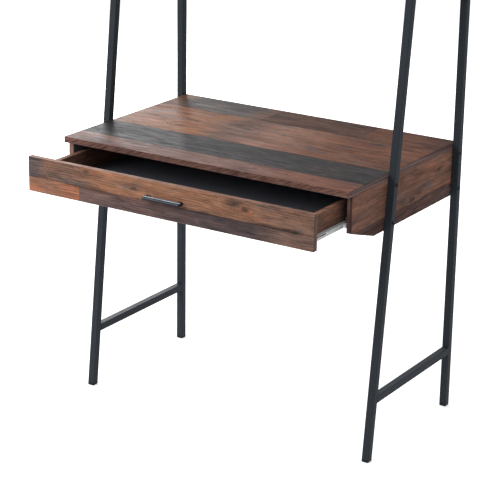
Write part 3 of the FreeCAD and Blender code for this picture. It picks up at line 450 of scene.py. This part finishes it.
def knot_group():
    """Grow one knot: a dark core with rings that pushes the growth lines aside."""
    group, given, put = start_group("knot", {"Vector": "Vector", "Centre": "Vector", "Radius": "Float"},
                                    {"Push": "Vector", "Dark": "Float"})
    away = vectors(group, "SUBTRACT", given["Vector"], given["Centre"])
    away = vectors(group, "MULTIPLY", away, KNOT_SHAPE)
    radii = stretched(group, away, sums(group, "DIVIDE", 1.0, given["Radius"]))
    rim = noise(group, given["Vector"], "knot_rim")
    rim = sums(group, "MULTIPLY_ADD", rim, KNOT_RAGGED, -KNOT_RAGGED / 2)
    distance = sums(group, "ADD", vectors(group, "LENGTH", radii), rim)
    squared = sums(group, "MULTIPLY", distance, distance)
    fall = sums(group, "EXPONENT", sums(group, "MULTIPLY", squared, -KNOT_FALL))
    wave = sums(group, "SINE", sums(group, "MULTIPLY", distance, KNOT_RINGS))
    rings = sums(group, "MULTIPLY_ADD", wave, HALF_WAVE, HALF_WAVE)
    halo = sums(group, "MULTIPLY", sums(group, "MULTIPLY", rings, fall), KNOT_HALO)
    core = ease(group, distance, *SHOWS["knot_core"])
    feed(group, stretched(group, away, sums(group, "MULTIPLY", fall, KNOT_PUSH)), put["Push"])
    feed(group, sums(group, "MAXIMUM", core, halo), put["Dark"])
    return group


def edge_print_group():
    """Print an edge band: strokes over a tone, slanting on long edges and straight on the grain's ends."""
    group, given, put = start_group("edge_print", {"Vector": "Vector", "Tone": "Color", "Tilt": "Float"},
                                    {"Color": "Color"})
    tone = given["Tone"]
    strokes = noise(group, turned(group, given["Vector"], given["Tilt"]), "strokes")
    strokes = ease(group, strokes, *SHOWS["strokes"])
    dark = tinted(group, tone, DARK_STROKES)
    light = tinted(group, tone, LIGHT_STROKES)
    colour = mix_colours(group, strokes, dark, light)
    shade = ease(group, noise(group, given["Vector"], "band_shade"), *SHOWS["band_shade"])
    feed(group, mix_colours(group, shade, colour, tinted(group, colour, BAND_SHADE)), put["Color"])
    return group


def edge_wear_group():
    """Find where a board's arrises are rubbed, from its low and high corners."""
    group, given, put = start_group("edge_wear", {"Vector": "Vector", "Low": "Vector", "High": "Vector"},
                                    {"Wear": "Float"})
    inside = vectors(group, "MINIMUM", vectors(group, "SUBTRACT", given["Vector"], given["Low"]),
                     vectors(group, "SUBTRACT", given["High"], given["Vector"]))
    x, y, z = split(group, inside)
    pairs = [sums(group, "MAXIMUM", first, second) for first, second in ((x, y), (y, z), (x, z))]
    nearest = sums(group, "MINIMUM", sums(group, "MINIMUM", pairs[0], pairs[1]), pairs[2])
    rubbed = ease(group, noise(group, given["Vector"], "rubbed"), *SHOWS["rubbed"])
    past = sums(group, "SUBTRACT", nearest, sums(group, "MULTIPLY", rubbed, WEAR_WIDTH))
    feed(group, ease(group, past, WEAR_FADE, -WEAR_FADE), put["Wear"])
    return group


def speckle_group():
    """Give a sprayed or moulded surface its fine bumps and faint clouds."""
    group, given, put = start_group("speckle", {"Vector": "Vector", "Bumps": "Float", "Clouds": "Float"},
                                    {"Height": "Float", "Cloud": "Float"})
    for size, detail, result in (("Bumps", BUMP_DETAIL, "Height"), ("Clouds", CLOUD_DETAIL, "Cloud")):
        made = add_node(group, "ShaderNodeTexNoise", {"Vector": given["Vector"], "Scale": given[size],
                                                      "Detail": detail})
        feed(group, made.outputs[0], put[result])
    return group


wood_print = wood_print_group()
knot = knot_group()
edge_print = edge_print_group()
edge_wear = edge_wear_group()
speckle = speckle_group()


# Materials


def start_material(name):
    """Start a material and hand out its node tree and its Principled shader."""
    material = bpy.data.materials.new(name)
    material.use_nodes = True
    tree = material.node_tree
    return material, tree, tree.nodes["Principled BSDF"]


def add_bump(tree, shader, height, strength, distance):
    """Raise the surface by a height."""
    bump = add_node(tree, "ShaderNodeBump", {"Height": height, "Strength": strength, "Distance": distance})
    tree.links.new(bump.outputs[0], shader.inputs["Normal"])


def joints_of(planks):
    """Find the shares of a row's length at which two planks meet."""
    return [share for (share, _), (following, _) in zip(planks, planks[1:]) if share == following]


def tone_ramp(tree, along, planks, row):
    """Colour a row of planks along its length; the alpha gives each plank its own part of the print."""
    ramp = add_node(tree, "ShaderNodeValToRGB", {"Fac": along})
    stops = ramp.color_ramp.elements
    stops.remove(stops[1])
    plank = 0
    for index, (share, tone) in enumerate(planks):
        stop = stops[0] if index == 0 else stops.new(share)
        plank += index > 0 and share == planks[index - 1][0]
        stop.position = share
        stop.color = (*TONES[tone], (FIRST_PART + ROW_PART * row + PLANK_PART * plank) % 1)
    return ramp.outputs["Color"], ramp.outputs["Alpha"]


def gap_line(tree, place, share, size, reach):
    """Mark a line at a share of a size, fading out over its reach."""
    offset = sums(tree, "ABSOLUTE", sums(tree, "SUBTRACT", place, share))
    return ease(tree, sums(tree, "MULTIPLY", offset, size), reach, reach * SEAM_CORE)


def lay_planks(tree, along, across, length, width, rows):
    """Lay a board's planks: their tones, their parts of the print, the seams and the smoke beside them."""
    tone = shift = None
    seam = smoke = 0.0
    edge = 0.0
    for index, (share, planks) in enumerate(rows):
        row_tone, row_shift = tone_ramp(tree, along, planks, index)
        inside = sums(tree, "LESS_THAN", across, edge + share)
        if tone is None:
            tone, shift = row_tone, row_shift
        else:
            past = sums(tree, "GREATER_THAN", across, edge)
            tone = mix_colours(tree, past, tone, row_tone)
            shift = mix_numbers(tree, past, shift, row_shift)
            inside = sums(tree, "MULTIPLY", inside, past)
            seam = sums(tree, "MAXIMUM", seam, gap_line(tree, across, edge, width, SEAM_WIDTH))
            smoke = sums(tree, "MAXIMUM", smoke, gap_line(tree, across, edge, width, SEAM_SMOKE))
        for joint in joints_of(planks):
            gap = sums(tree, "MULTIPLY", gap_line(tree, along, joint, length, SEAM_WIDTH), inside)
            seam = sums(tree, "MAXIMUM", seam, gap)
        edge += share
    return tone, shift, seam, smoke


def grow_knots(tree, grain, corner, length, width, knots):
    """Grow a board's knots from its low corner: the grain as they bend it, and their dark cores."""
    bent = grain
    dark = 0.0
    flat = vectors(tree, "MULTIPLY", grain, PRINT_PLANE)
    for (along_share, across_share), radius in knots:
        centre = (corner[0] + along_share * length, corner[1] + across_share * width, 0)
        grown = use_group(tree, knot, {"Vector": flat, "Centre": centre, "Radius": radius})
        bent = vectors(tree, "SUBTRACT", bent, grown["Push"])
        dark = sums(tree, "MAXIMUM", dark, grown["Dark"])
    return bent, dark


def edge_bands(tree, along, across, through, end_grain, long_tone, end_tone):
    """Print a board's edge bands, with slanting strokes on long edges and long stripes on its ends."""
    run = sums(tree, "ADD", along, across)
    run = sums(tree, "MULTIPLY", run, mix_numbers(tree, end_grain, 1.0, END_STRETCH))
    rise = sums(tree, "MULTIPLY", through, mix_numbers(tree, end_grain, 1.0, END_STRIPES))
    tilt = mix_numbers(tree, end_grain, -STROKE_TILT, 0.0)
    tone = mix_colours(tree, end_grain, TONES[long_tone], TONES[end_tone])
    place = joined(tree, run, rise)
    return use_group(tree, edge_print, {"Vector": place, "Tone": tone, "Tilt": tilt})["Color"]


def plank_laminate(board, print_name, axes, shaded_lining_sign, shaded_lining, long_tone, end_tone):
    """Print a board with its planks, knots, edge bands and rubbed arrises, and paint shade on its inward face
    with a dark lining tone.
    """
    material, tree, shader = start_material(f"{board}_planks")
    low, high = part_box(board)
    order = ["XYZ".index(letter) for letter in axes]
    corner = [low[axis] for axis in order]
    length, width, _ = (high[axis] - low[axis] for axis in order)
    coordinates = add_node(tree, "ShaderNodeTexCoord").outputs
    place = coordinates["Object"]
    parts = split(tree, place)
    facings = split(tree, coordinates["Normal"])
    grain_parts = [parts[axis] for axis in order]
    along, across = (share_of(tree, parts[axis], low[axis], high[axis]) for axis in order[:2])
    facing_along = facings[order[0]]
    facing_through = facings[order[2]]

    tone, shift, seam, smoke = lay_planks(tree, along, across, length, width, PLANK_SHARES[print_name])
    grain = joined(tree, *grain_parts)
    bent, dark = grow_knots(tree, grain, corner, length, width, KNOTS[print_name])
    printed = use_group(tree, wood_print, {"Vector": bent, "Tone": tone, "Shift": shift})
    colour = mix_colours(tree, dark, printed["Color"], TONES["knot"])
    drift = ease(tree, noise(tree, grain, "smoke"), *SHOWS["smoke"])
    colour = mix_colours(tree, sums(tree, "MULTIPLY", smoke, drift), colour, TONES["crack"])
    colour = mix_colours(tree, sums(tree, "MULTIPLY", seam, SEAM_STRENGTH), colour, TONES["crack"])

    end_grain = sums(tree, "GREATER_THAN", sums(tree, "ABSOLUTE", facing_along), FACING)
    is_edge = sums(tree, "LESS_THAN", sums(tree, "ABSOLUTE", facing_through), FACING)
    bands = edge_bands(tree, *grain_parts, end_grain, long_tone, end_tone)
    colour = mix_colours(tree, is_edge, colour, bands)
    wear = use_group(tree, edge_wear, {"Vector": place, "Low": low, "High": high})["Wear"]
    colour = mix_colours(tree, sums(tree, "MULTIPLY", wear, WEAR_STRENGTH), colour, TONES["worn"])
    # Painted shade: the face turned into the cabinet or the drawer takes a dark tone
    if shaded_lining_sign:
        towards = sums(tree, "MULTIPLY", facing_through, float(shaded_lining_sign))
        is_shaded_lining = sums(tree, "GREATER_THAN", towards, FACING)
        colour = mix_colours(tree, is_shaded_lining, colour, mix_colours(tree, SHADED_LINING_PRINT, TONES[shaded_lining], colour))
    feed(tree, colour, shader.inputs["Base Color"])
    rough = sums(tree, "MULTIPLY_ADD", printed["Height"], LAMINATE_SWING, LAMINATE_ROUGHNESS)
    feed(tree, rough, shader.inputs["Roughness"])
    shader.inputs["Specular IOR Level"].default_value = LAMINATE_GLOSS
    relief = sums(tree, "SUBTRACT", printed["Height"], sums(tree, "MULTIPLY", seam, SEAM_DEPTH))
    add_bump(tree, shader, relief, *LAMINATE_BUMP)
    return material


def coated(name):
    """Make a sprayed, moulded or plated finish with fine bumps and faint clouds of tone and sheen."""
    colour, roughness, metallic, gloss = FINISHES[name]
    bumps, clouds, cloud_depth, strength, height = SURFACES[name]
    material, tree, shader = start_material(name)
    place = add_node(tree, "ShaderNodeTexCoord").outputs["Object"]
    texture = use_group(tree, speckle, {"Vector": place, "Bumps": bumps, "Clouds": clouds})
    deep = tuple(channel * (1 - cloud_depth) for channel in colour)
    pale = tuple(min(1.0, channel * (1 + cloud_depth)) for channel in colour)
    feed(tree, mix_colours(tree, texture["Cloud"], deep, pale), shader.inputs["Base Color"])
    sheen = sums(tree, "MULTIPLY_ADD", texture["Cloud"], SHEEN_SWING, roughness - SHEEN_SWING / 2)
    feed(tree, sheen, shader.inputs["Roughness"])
    shader.inputs["Metallic"].default_value = metallic
    shader.inputs["Specular IOR Level"].default_value = gloss
    shader.inputs["Specular Tint"].default_value = (*GLOSS_TINTS.get(name, PLAIN_TINT), 1)
    add_bump(tree, shader, texture["Height"], strength, height)
    return material


def beech():
    """Make raw beech with short dark rays along its grain."""
    material, tree, shader = start_material("beech")
    place = add_node(tree, "ShaderNodeTexCoord").outputs["Object"]
    printed = use_group(tree, wood_print, {"Vector": place, "Tone": BEECH_COLOUR, "Shift": BEECH_PART})
    feed(tree, printed["Color"], shader.inputs["Base Color"])
    shader.inputs["Roughness"].default_value = BEECH_ROUGHNESS
    add_bump(tree, shader, printed["Height"], *BEECH_BUMP)
    return material


def dress(finishes):
    """Give every node its finish: each board its own print, and the rest the finish of its slot."""
    for entry in frame["record"]["subparts"]:
        name = entry["node"]
        if name in BOARDS:
            material = plank_laminate(name, *BOARDS[name])
        else:
            material = finishes[entry["material_slot"]]
        for slot in nodes[name].material_slots:
            slot.material = material


finishes = {name: coated(name) for name in FINISHES}
finishes["beech"] = beech()
dress(finishes)


# Pieces that are finer than their solids

MILLIMETRE = 0.001
WELD_DISTANCE = MILLIMETRE / 100
# The handle's section from its lower front edge: the ways back and up, in millimetres
GRIP_SECTION = ((0.0, 0.0), (0.0, 3.2), (1.6, 6.1), (2.4, 6.3), (2.9, 4.0), (6.6, 4.0), (6.6, 5.6),
                (9.0, 8.0), (12.4, 8.0), (12.4, 0.0))
GRIP_LEG_WIDTH = 0.014
GRIP_LEG_HEIGHT = 0.0072
GRIP_ARRIS = 0.0003
GRIP_ARRIS_STEPS = 2
BOLT_SOCKET_RADIUS = 0.0027
BOLT_SOCKET_DEPTH = 0.0032
BOLT_SHANK_RADIUS = 0.003
BOLT_RIM = 0.0009
BOLT_SIDES = 32
HEX_SIDES = 6


def add_piece(name, shape, body, slot, replaced):
    """Turn a shape into a piece that rides on a body and stands for a node."""
    bmesh.ops.recalc_face_normals(shape, faces=shape.faces)
    mesh = bpy.data.meshes.new(name)
    shape.to_mesh(mesh)
    shape.free()
    mesh.materials.append(finishes[slot])
    piece = bpy.data.objects.new(name, mesh)
    bpy.context.scene.collection.objects.link(piece)
    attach(piece, body)
    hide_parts(replaced)


def ease_edges(shape, edges, offset, segments):
    """Round edges."""
    bmesh.ops.bevel(shape, geom=edges, offset=offset, offset_type="OFFSET", affect="EDGES", segments=segments,
                    profile=0.5, material=-1)


def draw_out(shape, faces, way):
    """Extrude faces along a way and hand out the new faces; a loose face stays behind as the floor."""
    edges = [edge for face in faces for edge in face.edges]
    pulled = bmesh.ops.extrude_face_region(shape, geom=faces + edges)["geom"]
    verts = [item for item in pulled if isinstance(item, bmesh.types.BMVert)]
    bmesh.ops.translate(shape, verts=verts, vec=way)
    return [item for item in pulled if isinstance(item, bmesh.types.BMFace)]


def grooved_grip():
    """Draw out the handle's grooved bar and set it on two low legs."""
    low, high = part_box("drawer_handle")
    shape = bmesh.new()
    section = [shape.verts.new((low[0], low[1] + back * MILLIMETRE, low[2] + up * MILLIMETRE))
               for back, up in GRIP_SECTION]
    draw_out(shape, [shape.faces.new(section)], (high[0] - low[0], 0, 0))
    bar_back = low[1] + max(back for back, _ in GRIP_SECTION) * MILLIMETRE
    size = (GRIP_LEG_WIDTH, high[1] - bar_back, GRIP_LEG_HEIGHT)
    for x in (low[0] + GRIP_LEG_WIDTH / 2, high[0] - GRIP_LEG_WIDTH / 2):
        middle = (x, (bar_back + high[1]) / 2, low[2] + GRIP_LEG_HEIGHT / 2)
        bmesh.ops.create_cube(shape, size=1, matrix=Matrix.Translation(middle) @ Matrix.Diagonal((*size, 1)))
    ease_edges(shape, list(shape.edges), GRIP_ARRIS, GRIP_ARRIS_STEPS)
    add_piece("handle_grip", shape, "drawer", "black_handle", "drawer_handle")


def loose_boxes(node):
    """Find the low and high corners of each loose part of a node, in the same order each run."""
    copy = bmesh.new()
    copy.from_mesh(nodes[node].data)
    bmesh.ops.remove_doubles(copy, verts=copy.verts, dist=WELD_DISTANCE)
    waiting = set(copy.verts)
    boxes = []
    while waiting:
        front = [waiting.pop()]
        part = []
        while front:
            vert = front.pop()
            part.append(vert.co.copy())
            for edge in vert.link_edges:
                other = edge.other_vert(vert)
                if other in waiting:
                    waiting.remove(other)
                    front.append(other)
        boxes.append([[reach(place[axis] for place in part) for axis in range(3)] for reach in (min, max)])
    copy.free()
    return sorted(boxes)


def disc(shape, sides, radius, height):
    """Lay a loose face with this many sides at a height."""
    verts = bmesh.ops.create_circle(shape, cap_ends=True, segments=sides, radius=radius)["verts"]
    bmesh.ops.translate(shape, verts=verts, vec=(0, 0, height))
    return verts[0].link_faces[0]


def socket_bolt(shape, length, radius, head):
    """Turn one bolt, head up along Z, with a hexagon socket; its head rests on the plane Z = 0."""
    tip = disc(shape, BOLT_SIDES, BOLT_SHANK_RADIUS, head - length)
    face = draw_out(shape, [tip], (0, 0, length - head))[0]
    flare = (radius / BOLT_SHANK_RADIUS, 0)
    wall = (1, head - BOLT_RIM)
    rounding = (1 - BOLT_RIM / radius, BOLT_RIM)
    for spread, rise in (flare, wall, rounding):
        face = draw_out(shape, [face], (0, 0, rise))[0]
        bmesh.ops.scale(shape, verts=face.verts, vec=(spread, spread, 1))
    rim = list(face.edges)
    shape.faces.remove(face)
    floor = disc(shape, HEX_SIDES, BOLT_SOCKET_RADIUS, head - BOLT_SOCKET_DEPTH)
    mouth = draw_out(shape, [floor], (0, 0, BOLT_SOCKET_DEPTH))[0]
    lip = list(mouth.edges)
    shape.faces.remove(mouth)
    bmesh.ops.bridge_loops(shape, edges=rim + lip)


def socket_bolts():
    """Set a socket bolt in the place of each frame bolt, its head on the outer side of the post."""
    shape = bmesh.new()
    post_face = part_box("right_rear_post")[1][0]
    for low, high in loose_boxes("frame_bolts"):
        side = math.copysign(1, low[0])
        outer = max(abs(low[0]), abs(high[0]))
        radius = (high[1] - low[1]) / 2
        head = outer - post_face
        one = bmesh.new()
        socket_bolt(one, high[0] - low[0], radius, head)
        place = Vector((side * (outer - head), (low[1] + high[1]) / 2, (low[2] + high[2]) / 2))
        turn = Matrix.Rotation(side * math.pi / 2, 4, "Y")
        bmesh.ops.transform(one, matrix=Matrix.Translation(place) @ turn, verts=one.verts)
        single = bpy.data.meshes.new("bolt")
        one.to_mesh(single)
        one.free()
        shape.from_mesh(single)
        bpy.data.meshes.remove(single)
    add_piece("socket_bolts", shape, "desk", "black_bolt", "frame_bolts")


grooved_grip()
socket_bolts()


# Stage

FLOOR_COLOUR = (0.86, 0.86, 0.86)
FLOOR_REACH = 40.0
FLOOR_SIDES = 64
FLOOR_LIFT = 0.50
WHITE = (1, 1, 1)
AMBIENT = 0.62


def seen_directly(tree):
    """Tell the rays that show the background itself, in view, mirrored or let through."""
    rays = add_node(tree, "ShaderNodeLightPath").outputs
    glossy = sums(tree, "MAXIMUM", rays["Is Glossy Ray"], rays["Is Transmission Ray"])
    return sums(tree, "MAXIMUM", rays["Is Camera Ray"], glossy)


def white_floor():
    """Lay a wide pale floor that keeps the soft shadow and otherwise shows white."""
    bpy.ops.mesh.primitive_circle_add(vertices=FLOOR_SIDES, radius=FLOOR_REACH, fill_type="NGON")
    floor = bpy.context.object
    floor.name = "floor"
    material, tree, shader = start_material("floor")
    tree.nodes.remove(shader)
    matt = add_node(tree, "ShaderNodeBsdfDiffuse", {"Color": FLOOR_COLOUR}).outputs[0]
    lift = sums(tree, "MULTIPLY", seen_directly(tree), FLOOR_LIFT)
    glow = add_node(tree, "ShaderNodeEmission", {"Strength": lift}).outputs[0]
    both = add_node(tree, "ShaderNodeAddShader", {0: matt, 1: glow}).outputs[0]
    tree.links.new(both, tree.nodes["Material Output"].inputs["Surface"])
    floor.data.materials.append(material)


def white_world():
    """Light everything evenly from a white room."""
    world = bpy.data.worlds.new("room")
    bpy.context.scene.world = world
    world.use_nodes = True
    tree = world.node_tree
    background = tree.nodes["Background"]
    feed(tree, WHITE, background.inputs["Color"])
    strength = sums(tree, "MULTIPLY_ADD", seen_directly(tree), 1 - AMBIENT, AMBIENT)
    feed(tree, strength, background.inputs["Strength"])


# Soft boxes: place, width, height and power in watts
SOFT_BOXES = {
    "key": ((-2.3, -3.4, 2.9), 2.4, 2.0, 95.0),
    "sheen": ((-3.3, 2.9, 2.35), 1.8, 1.5, 190.0),
    "top": ((-1.85, -1.36, 3.3), 0.62, 0.42, 28.0),
}
AIM = Vector((0.0, 0.0, 0.75))


def soft_boxes():
    """Set up the lamps, turned to the desk."""
    for name, (place, width, height, power) in SOFT_BOXES.items():
        lamp = bpy.data.lights.new(name, "AREA")
        lamp.shape = "RECTANGLE"
        lamp.size = width
        lamp.size_y = height
        lamp.energy = power
        box = bpy.data.objects.new(name, lamp)
        box.location = place
        box.rotation_euler = (AIM - box.location).to_track_quat("-Z", "Y").to_euler()
        box.visible_camera = False
        bpy.context.scene.collection.objects.link(box)


# The photograph's view
CAMERA_PLACE = (2.458, -3.811, 2.022)
CAMERA_AZIMUTH = math.radians(32.52)
CAMERA_ELEVATION = math.radians(18.95)
CAMERA_ROLL = math.radians(0.88)
CAMERA_LENS = 130.7


def camera():
    """Look at the desk as the photograph does."""
    lens = bpy.data.cameras.new("camera")
    lens.lens = CAMERA_LENS
    eye = bpy.data.objects.new("camera", lens)
    turn = (Matrix.Rotation(CAMERA_AZIMUTH, 4, "Z") @ Matrix.Rotation(math.pi / 2 - CAMERA_ELEVATION, 4, "X")
            @ Matrix.Rotation(CAMERA_ROLL, 4, "Z"))
    eye.matrix_world = Matrix.Translation(CAMERA_PLACE) @ turn
    bpy.context.scene.collection.objects.link(eye)
    bpy.context.scene.camera = eye


white_floor()
white_world()
soft_boxes()
camera()
bpy.context.scene.view_settings.view_transform = "Standard"
